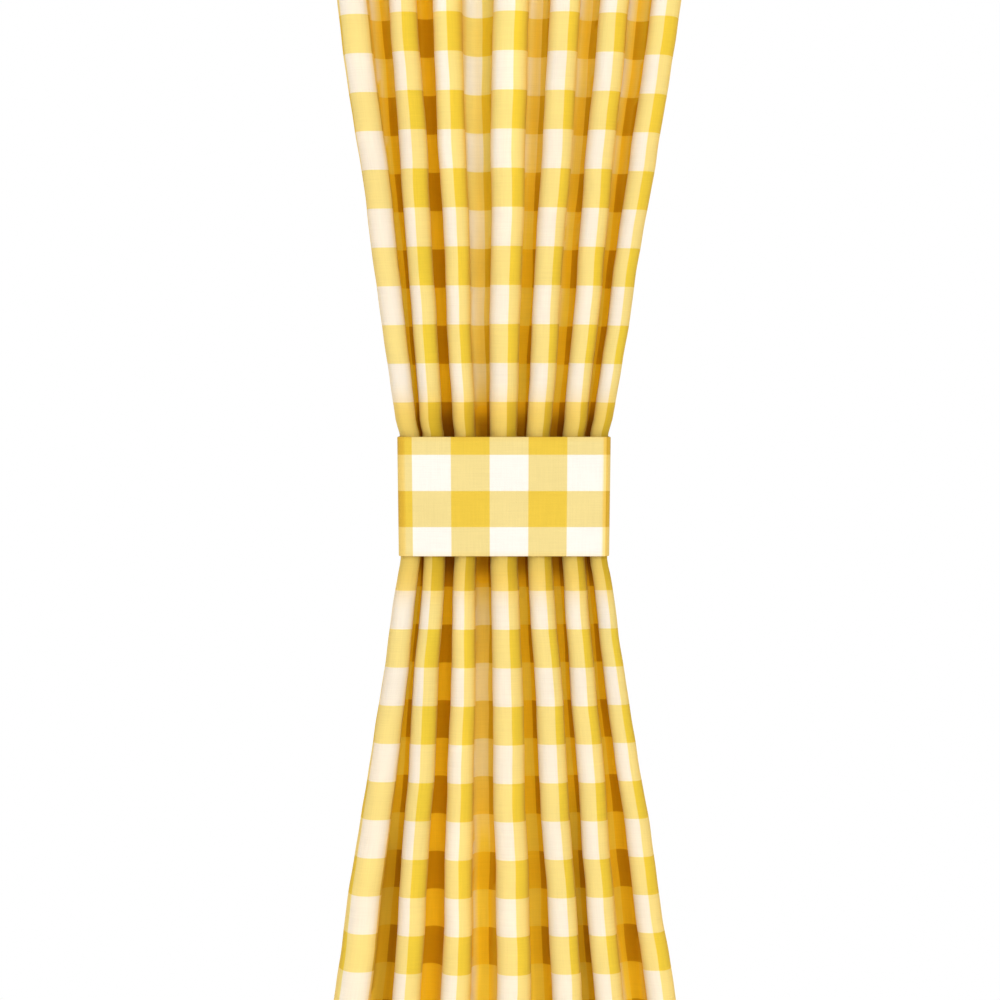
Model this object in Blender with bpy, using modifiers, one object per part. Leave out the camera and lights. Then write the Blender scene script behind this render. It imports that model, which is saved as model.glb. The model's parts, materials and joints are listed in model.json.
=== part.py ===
# French door curtain: one pleated gingham panel with a rod pocket and a ruffled
# header at both ends, drawn in at mid height by a flat cloth tie band.
# Frame: metres, +Z up, the front faces -Y. The origin is the middle of the
# panel's top edge, above the rod line.

from math import pi

import bmesh
import bpy
import numpy as np

# ---- the cloth, in metres
CHECK_ALONG = 0.0254          # one check, down the curtain
CHECK_ACROSS = 0.0236         # one check, across the curtain
CHECKS_DOWN = 72
CHECKS_WIDE = 28
CLOTH = 0.0012                # thickness of the cloth where it hangs as one sheet
GAP = 0.0003                  # left between pieces that meet

# ---- what the panel is gathered on
ROD_WIDTH = 0.394             # width of the gathers along the rod
HEADER = 0.025                # ruffle that stands past the rod
POCKET = 0.030                # height of the open rod pocket
POCKET_HALF = 0.0096          # from the middle of the rod to the pocket's outer wall
POCKET_SHOULDER = 0.006       # from the pocket's seams to its widest part
POCKET_GATHERS = 0.35         # share of the gathers' depth left where the walls pass the rod
POCKET_TIP = 0.003            # from a pocket seam to the end of the hollow
CUT_PAST = 0.010              # how far the channel's cutter runs past the side hems
GATHER_FADE = 0.520           # below the pocket, where the small gathers have become seven pleats

# ---- the tie band, in metres
BAND_TALL = 0.078
BAND_WIDE_TOP = 0.1397
BAND_WIDE_LOW = 0.1378
BAND_DEEP = 0.0446
BAND_BACK_SHIFT = 0.0008      # the band's middle lies this far behind the rod line
BAND_CORNER = 0.006
BAND_CORNER_STEPS = 4
BAND_CLOTH = 0.0014           # two plies and their stiffening
SQUEEZE_WIDE = 0.963          # share of its width that the panel keeps inside the band
SQUEEZE_DEEP = 0.83           # and of its depth
SQUEEZE_IN = 0.038            # from mid height: fully pressed up to here
SQUEEZE_OUT = 0.054           # and free from here on
PUFF = 0.04                   # the pleats swell by this share just outside the band
PUFF_AT = 0.062
PUFF_REACH = 0.030

MM = 0.001                    # the unit of the tables below
LENGTH = CHECKS_DOWN * CHECK_ALONG
TIE_Z = -LENGTH / 2
SEAM = LENGTH / 2 - HEADER - POCKET   # from mid height to the stitch line of each pocket

# Height above the tie (mm), how square the pleats are there (1 is a plain wave, less
# has tighter crowns and straighter sides), and how far the two outer pleats swell past
# their crown lines before the cloth turns back to its side hems (mm).
LEVEL_COLUMNS = ("above", "square", "left_swell", "right_swell")
LEVELS = (
    (-SEAM / MM, 1.00, 12.0, 12.0),
    (-320.0, 1.02, 14.0, 9.4),
    (-44.0, 0.72, 6.2, 4.9),
    (44.0, 0.72, 6.5, 5.6),
    (320.0, 0.95, 10.5, 10.5),
    (SEAM / MM, 1.00, 12.0, 12.0),
)

# The pleats' crowns (a to g) and the valleys between them. "checks" is the line's place
# in the flat cloth, counted from the left hem. "square" multiplies the level's squareness
# for the pleat side to the right of the line. The next four are its x (mm) at the lower
# level, below the tie, above the tie and at the upper level. "back" (mm) is how far it
# lies behind the even plane of the crowns or of the valleys.
FOLD_COLUMNS = ("fold", "checks", "square", "lower", "tie_low", "tie_top", "upper", "back")
FOLDS = (
    ("crown_a", 2.00, 0.75, -97.2, -61.6, -63.3, -98.1, 0.0),
    ("valley_ab", 4.50, 0.95, -79.0, -55.3, -57.0, -82.0, 1.0),
    ("crown_b", 6.55, 0.80, -63.6, -46.0, -47.6, -65.2, 0.0),
    ("valley_bc", 8.80, 1.25, -49.3, -36.0, -37.3, -52.7, 0.5),
    ("crown_c", 10.48, 0.90, -31.6, -25.4, -26.1, -37.2, 0.0),
    ("valley_cd", 12.36, 1.25, -12.9, -13.3, -14.6, -18.0, -1.5),
    ("crown_d", 14.40, 1.60, 4.9, 0.0, -0.7, 3.6, 0.0),
    ("valley_de", 16.40, 1.10, 23.4, 12.1, 11.8, 23.8, 0.0),
    ("crown_e", 18.37, 1.00, 40.1, 23.5, 22.5, 39.8, 0.0),
    ("valley_ef", 20.45, 1.10, 54.5, 35.5, 35.1, 57.8, 0.5),
    ("crown_f", 22.42, 0.90, 67.8, 46.0, 47.3, 71.4, 1.0),
    ("valley_fg", 24.60, 1.05, 86.2, 57.5, 58.5, 90.5, 0.5),
    ("crown_g", 26.46, 1.00, 102.4, 62.9, 64.2, 105.3, 2.0),
)

EDGE_LEAN = 1.64              # radians that the cloth turns through round an outer crown
MOST_LEAN = 2.6               # radians, more than any pleat side leans
HALVINGS = 40                 # steps in which a lean is searched for
FINE_STEPS = 48               # steps in which the course of each pleat side is added up
PANEL_STATIONS = (0.05, 0.20, 0.42, 0.58, 0.80, 0.95)   # places along a pleat side
POCKET_STATIONS = (0.10, 0.40, 0.60, 0.90)
# Rows of the panel: metres in from each pocket seam, then metres out from mid height.
ROWS_BELOW_SEAM = (0.0, 0.065, 0.150, 0.280)
ROWS_ABOVE_TIE = (0.320, 0.064, 0.050, 0.037)

COLOURS = {                   # base colour and roughness of each piece
    "curtain_panel": ((0.96, 0.80, 0.35, 1.0), 0.85),
    "rod_pocket_top": ((0.97, 0.86, 0.50, 1.0), 0.85),
    "rod_pocket_bottom": ((0.97, 0.86, 0.50, 1.0), 0.85),
    "tie_band": ((0.93, 0.72, 0.20, 1.0), 0.80),
}

FINE = np.linspace(0.0, 1.0, FINE_STEPS + 1)


def smooth(value):
    """0 below 0, 1 above 1, and an even curve between."""
    share = np.clip(value, 0.0, 1.0)
    return share * share * (3.0 - 2.0 * share)


def fold_column(name):
    return np.array([row[FOLD_COLUMNS.index(name)] for row in FOLDS])


def level_value(name, above):
    heights = [row[0] * MM for row in LEVELS]
    values = [row[LEVEL_COLUMNS.index(name)] for row in LEVELS]
    return float(np.interp(above, heights, values))


def fold_lines(above):
    """The x of every crown and valley at a height above the tie."""
    on_rod = (fold_column("checks") / CHECKS_WIDE - 0.5) * ROD_WIDTH
    crossings = [on_rod]
    crossings += [fold_column(name) * MM for name in ("lower", "tie_low", "tie_top", "upper")]
    crossings.append(on_rod)
    heights = [row[0] * MM for row in LEVELS]
    return np.array([np.interp(above, heights, line) for line in np.array(crossings).T])


def gather_share(above):
    """1 at the rod pockets, where the cloth is in small gathers, and 0 where it is in pleats."""
    return 1.0 - smooth((SEAM - abs(above)) / GATHER_FADE)


def course(angles, cloth):
    """Where a strip of cloth gets to, from its direction at even steps along it."""
    step = cloth / FINE_STEPS
    along = np.cos(angles)
    back = np.sin(angles)
    x = np.concatenate([[0.0], np.cumsum((along[1:] + along[:-1]) / 2 * step)])
    y = np.concatenate([[0.0], np.cumsum((back[1:] + back[:-1]) / 2 * step)])
    return x, y


def lean_for(shape, ratio, base=0.0):
    """How far a strip leans (radians), on top of its base direction, for its width to be
    this share of its cloth."""
    low, high = 0.0, MOST_LEAN
    for _ in range(HALVINGS):
        lean = (low + high) / 2
        width = course(base + lean * shape, 1.0)[0][-1]
        if width > ratio:
            low = lean
        else:
            high = lean
    return lean


GATHER = -np.sin(2 * pi * FINE)         # direction along one small gather, which comes forward
TURN_REACH = course(EDGE_LEAN * np.sin(pi / 2 * FINE), 1.0)[0].max()


def edge_course(above, swell, cloth):
    """The cloth from an outer crown round to its side hem, counted outwards."""
    gathers = gather_share(above)
    turn_run = swell * MM / TURN_REACH
    turn = EDGE_LEAN * np.sin(pi / 2 * np.minimum(1.0, FINE * cloth / turn_run))
    tucked = course(turn, cloth)[0][-1]
    spread = cloth * ROD_WIDTH / (CHECKS_WIDE * CHECK_ACROSS)
    reach = tucked + (spread - tucked) * gathers
    lean = lean_for(GATHER, reach / cloth, (1.0 - gathers) * turn)
    angles = (1.0 - gathers) * turn + lean * GATHER
    return course(angles, cloth) + (angles,)


def tie_squeeze(above):
    """Shares of its width and depth that the panel keeps near the tie band."""
    pressed = 1.0 - smooth((abs(above) - SQUEEZE_IN) / (SQUEEZE_OUT - SQUEEZE_IN))
    puffed = PUFF * smooth(1.0 - abs(abs(above) - PUFF_AT) / PUFF_REACH) * (1.0 - pressed)
    wide = 1.0 + (SQUEEZE_WIDE - 1.0) * pressed
    deep = 1.0 + (SQUEEZE_DEEP - 1.0) * pressed + puffed
    return wide, deep


def section(above, stations):
    """The cloth's middle line at a height above the tie: x, y and direction at each station."""
    gathers = gather_share(above)
    squares = level_value("square", above) * fold_column("square")
    checks = fold_column("checks")
    lines = fold_lines(above)
    cloths = np.diff(checks) * CHECK_ACROSS

    legs = []
    for i, cloth in enumerate(cloths):
        side = 1.0 if i % 2 == 0 else -1.0      # back from a crown, then forward from a valley
        main = np.sin(pi * FINE) / np.hypot(np.sin(pi * FINE), squares[i] * np.cos(pi * FINE))
        shape = (1.0 - gathers) * side * main + gathers * GATHER
        angles = lean_for(shape, (lines[i + 1] - lines[i]) / cloth) * shape
        legs.append(course(angles, cloth) + (angles,))
    right_cloth = (CHECKS_WIDE - checks[-1]) * CHECK_ACROSS
    left = edge_course(above, level_value("left_swell", above), checks[0] * CHECK_ACROSS)
    right = edge_course(above, level_value("right_swell", above), right_cloth)

    depth = np.mean([abs(y[-1]) for _, y, _ in legs])
    levels = (1.0 - gathers) * fold_column("back") * MM
    levels[1::2] += depth

    ease = (1.0 - np.cos(pi * FINE)) / 2
    x, y, angles = left
    pieces = [((lines[0] - x)[::-1], (levels[0] + y)[::-1], -angles[::-1])]
    for i, (x, y, angles) in enumerate(legs):
        change = levels[i + 1] - levels[i]
        pieces.append((lines[i] + x, levels[i] + y + (change - y[-1]) * ease, angles))
    x, y, angles = right
    pieces.append((lines[-1] + x, levels[-1] + y, angles))

    middle = np.mean(np.concatenate([y for _, y, _ in pieces]))
    wide, deep = tie_squeeze(above)
    rows = [(pieces[0][0][0], pieces[0][1][0], pieces[0][2][0])]
    for piece in pieces:
        rows += [tuple(np.interp(share, FINE, line) for line in piece) for share in stations]
    rows.append((pieces[-1][0][-1], pieces[-1][1][-1], pieces[-1][2][-1]))
    x, y, angles = np.array(rows).T
    return x * wide, (y - middle) * deep, angles


def material(name):
    colour, roughness = COLOURS[name]
    made = bpy.data.materials.new(name)
    made.use_nodes = True
    shader = made.node_tree.nodes["Principled BSDF"]
    shader.inputs["Base Color"].default_value = colour
    shader.inputs["Roughness"].default_value = roughness
    return made


def loft(name, rings, collection, closed):
    """Faces between one row of points and the next. Closed rings also get end caps."""
    mesh = bmesh.new()
    rows = [[mesh.verts.new(point) for point in ring] for ring in rings]
    for row, following in zip(rows, rows[1:]):
        pairs = list(zip(row, following))
        if closed:
            pairs.append(pairs[0])
        for (a, b), (d, c) in zip(pairs, pairs[1:]):
            mesh.faces.new((a, b, c, d))
    if closed:
        mesh.faces.new(rows[0])
        mesh.faces.new(rows[-1][::-1])
    bmesh.ops.recalc_face_normals(mesh, faces=mesh.faces)
    data = bpy.data.meshes.new(name)
    mesh.to_mesh(data)
    mesh.free()
    made = bpy.data.objects.new(name, data)
    collection.objects.link(made)
    return made


def thicken(piece, thickness):
    shell = piece.modifiers.new("cloth", "SOLIDIFY")
    shell.thickness = thickness
    shell.offset = 0.0


def panel_heights():
    """Heights above the tie of the panel's rows, from the top down."""
    upper = [SEAM - GAP - inset for inset in ROWS_BELOW_SEAM] + list(ROWS_ABOVE_TIE)
    return upper + [-height for height in reversed(upper)]


def make_panel(collection):
    rings = []
    for above in panel_heights():
        x, y, _ = section(above, PANEL_STATIONS)
        rings.append([(px, py, TIE_Z + above) for px, py in zip(x, y)])
    panel = loft("curtain_panel", rings, collection, closed=False)
    panel.data.materials.append(material("curtain_panel"))
    thicken(panel, CLOTH)


def pocket_slice(x, y, angle, rows):
    """One slice across header and pocket, up the front and down the back, from the foot seam.
    Each row holds a height, half a depth, and the shares of the gathers and of their lean."""
    front = []
    rear = []
    for rise, half, gathers, lean in rows:
        aside = half * np.sin(angle * lean)
        back = half * np.cos(angle * lean)
        front.append((x + aside, y * gathers - back, rise))
        rear.append((x - aside, y * gathers + back, rise))
    return front + rear[::-1]


def make_pocket(name, collection, cutters, up):
    """Header, rod pocket and seam in one. up is 1 at the top of the panel and -1 at its foot."""
    x, y, angles = section(SEAM, POCKET_STATIONS)
    wide_from = POCKET_SHOULDER
    wide_to = POCKET - POCKET_SHOULDER
    outside = (
        (0.0, CLOTH, 1.0, 1.0),
        (wide_from, POCKET_HALF, POCKET_GATHERS, 0.0),
        (wide_to, POCKET_HALF, POCKET_GATHERS, 0.0),
        (POCKET, CLOTH, 1.0, 1.0),
        (POCKET + HEADER, CLOTH, 1.0, 1.0),
    )
    inner = POCKET_HALF - CLOTH
    inside = (
        (POCKET_TIP, CLOTH / 2, POCKET_GATHERS, 0.0),
        (wide_from, inner, POCKET_GATHERS, 0.0),
        (wide_to, inner, POCKET_GATHERS, 0.0),
        (POCKET - POCKET_TIP, CLOTH / 2, POCKET_GATHERS, 0.0),
    )
    seam_z = TIE_Z + up * SEAM
    rings = {}
    for kind, rows in (("cloth", outside), ("hole", inside)):
        slices = [pocket_slice(*place, rows) for place in zip(x, y, angles)]
        rings[kind] = [[(px, py, seam_z + up * rise) for px, py, rise in ring] for ring in slices]
    first, last = rings["hole"][0], rings["hole"][-1]
    rings["hole"].insert(0, [(px - CUT_PAST, py, pz) for px, py, pz in first])
    rings["hole"].append([(px + CUT_PAST, py, pz) for px, py, pz in last])

    pocket = loft(name, rings["cloth"], collection, closed=True)
    pocket.data.materials.append(material(name))
    channel = loft(name + "_channel", rings["hole"], cutters, closed=True)
    channel.hide_render = True
    channel.display_type = "WIRE"
    cut = pocket.modifiers.new("rod channel", "BOOLEAN")
    cut.operation = "DIFFERENCE"
    cut.solver = "EXACT"
    cut.object = channel


def band_ring(width, above):
    """The band's middle line: a rectangle with round corners, at a height above the tie."""
    half_wide = (width - BAND_CLOTH) / 2 - BAND_CORNER
    half_deep = (BAND_DEEP - BAND_CLOTH) / 2 - BAND_CORNER
    points = []
    for quarter, (sign_x, sign_y) in enumerate(((1, 1), (-1, 1), (-1, -1), (1, -1))):
        for step in range(BAND_CORNER_STEPS + 1):
            turn = pi / 2 * (quarter + step / BAND_CORNER_STEPS)
            x = sign_x * half_wide + BAND_CORNER * np.cos(turn)
            y = sign_y * half_deep + BAND_CORNER * np.sin(turn)
            points.append((x, y + BAND_BACK_SHIFT, TIE_Z + above))
    return points + points[:1]


def make_band(collection):
    rings = [band_ring(BAND_WIDE_TOP, BAND_TALL / 2), band_ring(BAND_WIDE_LOW, -BAND_TALL / 2)]
    band = loft("tie_band", rings, collection, closed=False)
    close = band.modifiers.new("sewn ends", "WELD")
    close.merge_threshold = 0.0001
    band.data.materials.append(material("tie_band"))
    thicken(band, BAND_CLOTH)


def main():
    for old in list(bpy.data.objects):
        bpy.data.objects.remove(old, do_unlink=True)
    curtain = bpy.data.collections.new("french_door_curtain")
    cutters = bpy.data.collections.new("cutters")
    bpy.context.scene.collection.children.link(curtain)
    bpy.context.scene.collection.children.link(cutters)
    make_panel(curtain)
    make_pocket("rod_pocket_top", curtain, cutters, up=1)
    make_pocket("rod_pocket_bottom", curtain, cutters, up=-1)
    make_band(curtain)


main()
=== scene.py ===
import json
from math import cos, pi, radians, sin

import bpy
import numpy as np
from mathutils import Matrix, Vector

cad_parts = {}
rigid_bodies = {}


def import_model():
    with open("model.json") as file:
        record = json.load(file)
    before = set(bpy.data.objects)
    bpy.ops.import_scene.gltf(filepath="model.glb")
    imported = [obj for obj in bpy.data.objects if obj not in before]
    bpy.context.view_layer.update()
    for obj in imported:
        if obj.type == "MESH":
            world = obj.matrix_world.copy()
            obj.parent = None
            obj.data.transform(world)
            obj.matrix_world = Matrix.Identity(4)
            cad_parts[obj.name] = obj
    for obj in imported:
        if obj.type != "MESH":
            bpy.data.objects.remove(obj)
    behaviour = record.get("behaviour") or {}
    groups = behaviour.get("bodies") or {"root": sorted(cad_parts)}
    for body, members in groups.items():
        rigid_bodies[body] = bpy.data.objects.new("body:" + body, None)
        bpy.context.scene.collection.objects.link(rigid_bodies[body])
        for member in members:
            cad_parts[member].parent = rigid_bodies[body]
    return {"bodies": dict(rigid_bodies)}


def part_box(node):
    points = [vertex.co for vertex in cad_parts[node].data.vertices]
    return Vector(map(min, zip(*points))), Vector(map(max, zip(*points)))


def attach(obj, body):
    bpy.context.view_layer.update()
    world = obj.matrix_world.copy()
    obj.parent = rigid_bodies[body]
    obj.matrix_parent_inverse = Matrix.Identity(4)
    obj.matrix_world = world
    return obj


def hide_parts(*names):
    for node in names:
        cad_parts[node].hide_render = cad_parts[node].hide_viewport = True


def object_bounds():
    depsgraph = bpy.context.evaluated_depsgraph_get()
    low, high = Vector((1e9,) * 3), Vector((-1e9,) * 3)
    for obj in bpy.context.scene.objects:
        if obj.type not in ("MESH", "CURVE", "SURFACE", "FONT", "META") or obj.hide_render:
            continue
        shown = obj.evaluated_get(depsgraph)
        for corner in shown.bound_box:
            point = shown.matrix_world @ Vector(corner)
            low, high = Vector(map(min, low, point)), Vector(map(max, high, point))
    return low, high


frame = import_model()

cadLow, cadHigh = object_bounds()

bandLow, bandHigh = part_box("tie_band")
pocketLow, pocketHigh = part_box("rod_pocket_top")
bodyName = next(iter(frame["bodies"]))
tieZ = (bandLow.z + bandHigh.z) / 2
seamUp = pocketLow.z - tieZ    # from the tie to each pocket's stitch line
rodWidth = pocketHigh.x - pocketLow.x
mm = 0.001

gingham = {
    "checkAcross": 0.0236,
    "checkAlong": 0.0254,
    "checksWide": 28,
    "white": (0.93, 0.925, 0.885),
    "single": (0.92, 0.825, 0.32),      # where only one set of yarns is dyed
    "double": (0.91, 0.72, 0.06),       # where both sets are
    "sheer": 0.40,                      # share of the light that goes through the cloth
    "paintedShadeOnWhite": (1.06, 0.77, 0.07),    # painted shade between the pleats, a warm darker tint standing in for light bounced there, on white yarns
    "paintedShadeOnDyed": (0.74, 0.50, 0.012),    # and the painted shade on dyed ones
    "tucked": (0.54, 0.42, 0.24),       # darker painted shade once more where they go in under the tie
    "checkBlur": 0.0004,                # width of the soft edge of a dyed stripe
    "yarn": 0.00052,
    "slub": 0.5,
    "slubPerMetre": (1300.0, 40.0),     # across a yarn and along it
    "slubTone": 0.22,
    "cloudPerMetre": 30.0,
    "cloudTone": 0.08,
    "weaveTone": 0.012,
    "slubHeight": 1.4,
    "weaveHeight": 0.4,
    "weaveDepth": 0.00012,
    "creaseDepth": 0.0010,
    "rumple": 0.22,                     # height of the broad rumples, against the drawn-in creases
    "roughBase": 1.36,                  # roughness is this, less a share of the weave's tone
    "roughTone": 0.5,
    "shine": 0.20,
    "sheen": 0.08,
    "sheenRough": 0.5,
}

flatWide = gingham["checksWide"] * gingham["checkAcross"]
gatherRatio = rodWidth / flatWide
print("stage: frame read, tie at", round(tieZ, 4))


def smooth(value):
    share = np.clip(value, 0.0, 1.0)
    return share * share * (3.0 - 2.0 * share)


def mix(a, b, share):
    return a + (b - a) * share


def opaque(colour):
    return (*colour, 1.0)


wanderLook = {
    "octaves": 4,
    "step": 1.7,               # each wave is this much shorter and lower than the one before
    "stretch": (0.8, 1.25),
    "fullHeight": 2.2,         # about what the waves reach together
}


# an even wander between -1 and 1, made of a few waves; each row of it is its own
def wander(place, wavelength, rows, seed):
    look = wanderLook
    rng = np.random.default_rng(seed)
    total = np.zeros((rows,) + np.shape(place))
    each = (rows,) + (1,) * np.ndim(place)
    for octave in range(look["octaves"]):
        finer = look["step"] ** octave
        phase = rng.uniform(0, 2 * pi, each)
        stretch = rng.uniform(*look["stretch"], each) * finer
        total += np.sin(2 * pi * place * stretch / wavelength + phase) / finer
    return total / look["fullHeight"]


def newGroup(name, inputs, outputs):
    tree = bpy.data.node_groups.new(name, "ShaderNodeTree")
    for label, kind, value in inputs:
        socket = tree.interface.new_socket(name=label, in_out="INPUT", socket_type=kind)
        if value is not None:
            socket.default_value = value
    for label, kind in outputs:
        tree.interface.new_socket(name=label, in_out="OUTPUT", socket_type=kind)
    return tree, tree.nodes.new("NodeGroupInput").outputs, tree.nodes.new("NodeGroupOutput").inputs


def fill(tree, socket, value):
    if isinstance(value, bpy.types.NodeSocket):
        tree.links.new(value, socket)
    elif value is not None:
        socket.default_value = value


def addMath(tree, operation, a, b=None, c=None, clamp=False):
    node = tree.nodes.new("ShaderNodeMath")
    node.operation = operation
    node.use_clamp = clamp
    for socket, value in zip(node.inputs, (a, b, c)):
        fill(tree, socket, value)
    return node.outputs[0]


def addMix(tree, share, a, b, blend="MIX"):
    node = tree.nodes.new("ShaderNodeMix")
    node.data_type = "RGBA"
    node.blend_type = blend
    fill(tree, node.inputs["Factor"], share)
    fill(tree, node.inputs[6], a)
    fill(tree, node.inputs[7], b)
    return node.outputs[2]


def addNoise(tree, vector, perMetre, detail=2.0):
    scaled = tree.nodes.new("ShaderNodeVectorMath")
    scaled.operation = "MULTIPLY"
    scaled.inputs[1].default_value = perMetre
    tree.links.new(vector, scaled.inputs[0])
    noise = tree.nodes.new("ShaderNodeTexNoise")
    noise.inputs["Scale"].default_value = 1.0
    noise.inputs["Detail"].default_value = detail
    tree.links.new(scaled.outputs[0], noise.inputs["Vector"])
    return addMath(tree, "SUBTRACT", noise.outputs["Fac"], 0.5)


def addGroup(tree, group, values):
    node = tree.nodes.new("ShaderNodeGroup")
    node.node_tree = group
    for label, value in values.items():
        fill(tree, node.inputs[label], value)
    return node.outputs


# one set of dyed yarns: 1 in a dyed stripe and 0 in a white one, dyed at the middle place
def stripeMask(tree, place, check, middle, blur):
    counted = addMath(tree, "DIVIDE", addMath(tree, "SUBTRACT", place, middle), check)
    wave = addMath(tree, "PINGPONG", counted, 1.0)
    steepness = addMath(tree, "DIVIDE", check, blur)
    return addMath(tree, "MULTIPLY_ADD", addMath(tree, "SUBTRACT", 0.5, wave), steepness, 0.5, clamp=True)


def makeCheckGroup():
    tree, given, out = newGroup(
        "dyedChecks",
        [("Cloth", "NodeSocketVector", None),
         ("Check Across", "NodeSocketFloat", gingham["checkAcross"]),
         ("Check Along", "NodeSocketFloat", gingham["checkAlong"]),
         ("Middle Across", "NodeSocketFloat", 0.0), ("Middle Along", "NodeSocketFloat", 0.0),
         ("Blur", "NodeSocketFloat", gingham["checkBlur"]),
         ("White", "NodeSocketColor", opaque(gingham["white"])),
         ("Single", "NodeSocketColor", opaque(gingham["single"])),
         ("Double", "NodeSocketColor", opaque(gingham["double"]))],
        [("Color", "NodeSocketColor"), ("Dyed", "NodeSocketFloat")])
    split = tree.nodes.new("ShaderNodeSeparateXYZ")
    tree.links.new(given["Cloth"], split.inputs[0])
    masks = []
    for axis, way in (("X", "Across"), ("Y", "Along")):
        masks.append(stripeMask(tree, split.outputs[axis], given["Check " + way], given["Middle " + way],
                                given["Blur"]))
    one = addMath(tree, "MAXIMUM", *masks)
    two = addMath(tree, "MULTIPLY", *masks)
    colour = addMix(tree, two, addMix(tree, one, given["White"], given["Single"]), given["Double"])
    tree.links.new(colour, out["Color"])
    tree.links.new(addMath(tree, "MULTIPLY", addMath(tree, "ADD", *masks), 0.5), out["Dyed"])
    return tree


# over-and-under yarns with slubs: a tone round 1 for the colour, and a height for the bump
def makeWeaveGroup():
    tree, given, out = newGroup(
        "plainWeave",
        [("Cloth", "NodeSocketVector", None), ("Yarn", "NodeSocketFloat", gingham["yarn"]),
         ("Slub", "NodeSocketFloat", gingham["slub"])],
        [("Tone", "NodeSocketFloat"), ("Height", "NodeSocketFloat")])
    split = tree.nodes.new("ShaderNodeSeparateXYZ")
    tree.links.new(given["Cloth"], split.inputs[0])
    waves = []
    for axis in ("X", "Y"):
        turns = addMath(tree, "DIVIDE", split.outputs[axis], given["Yarn"])
        waves.append(addMath(tree, "SINE", addMath(tree, "MULTIPLY", turns, pi)))
    weave = addMath(tree, "MULTIPLY", *waves)
    fine, coarse = gingham["slubPerMetre"]
    cloud = gingham["cloudPerMetre"]
    warp = addNoise(tree, given["Cloth"], (fine, coarse, 1.0))
    weft = addNoise(tree, given["Cloth"], (coarse, fine, 1.0))
    slubs = addMath(tree, "MULTIPLY", addMath(tree, "ADD", warp, weft), given["Slub"])
    cloudy = addNoise(tree, given["Cloth"], (cloud, cloud, 1.0))
    clouded = addMath(tree, "MULTIPLY_ADD", cloudy, gingham["cloudTone"], 1.0)
    tone = addMath(tree, "MULTIPLY_ADD", slubs, gingham["slubTone"], clouded)
    tree.links.new(addMath(tree, "MULTIPLY_ADD", weave, gingham["weaveTone"], tone), out["Tone"])
    woven = addMath(tree, "MULTIPLY", weave, gingham["weaveHeight"])
    tree.links.new(addMath(tree, "MULTIPLY_ADD", slubs, gingham["slubHeight"], woven), out["Height"])
    return tree


# soft creases that run along the cloth, where it is drawn in by a stitch line or by the tie
def makeCreaseGroup():
    tree, given, out = newGroup(
        "softCreases",
        [("Cloth", "NodeSocketVector", None), ("Mask", "NodeSocketFloat", 0.0)],
        [("Height", "NodeSocketFloat")])
    narrow = addNoise(tree, given["Cloth"], (190.0, 9.0, 1.0), 1.0)
    broad = addNoise(tree, given["Cloth"], (70.0, 4.0, 1.0), 1.0)
    rumple = addNoise(tree, given["Cloth"], (34.0, 22.0, 1.0), 2.0)
    drawn = addMath(tree, "MULTIPLY", addMath(tree, "MULTIPLY_ADD", narrow, 0.5, broad), given["Mask"])
    tree.links.new(addMath(tree, "MULTIPLY_ADD", rumple, gingham["rumple"], drawn), out["Height"])
    return tree


checkGroup = makeCheckGroup()
weaveGroup = makeWeaveGroup()
creaseGroup = makeCreaseGroup()


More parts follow.
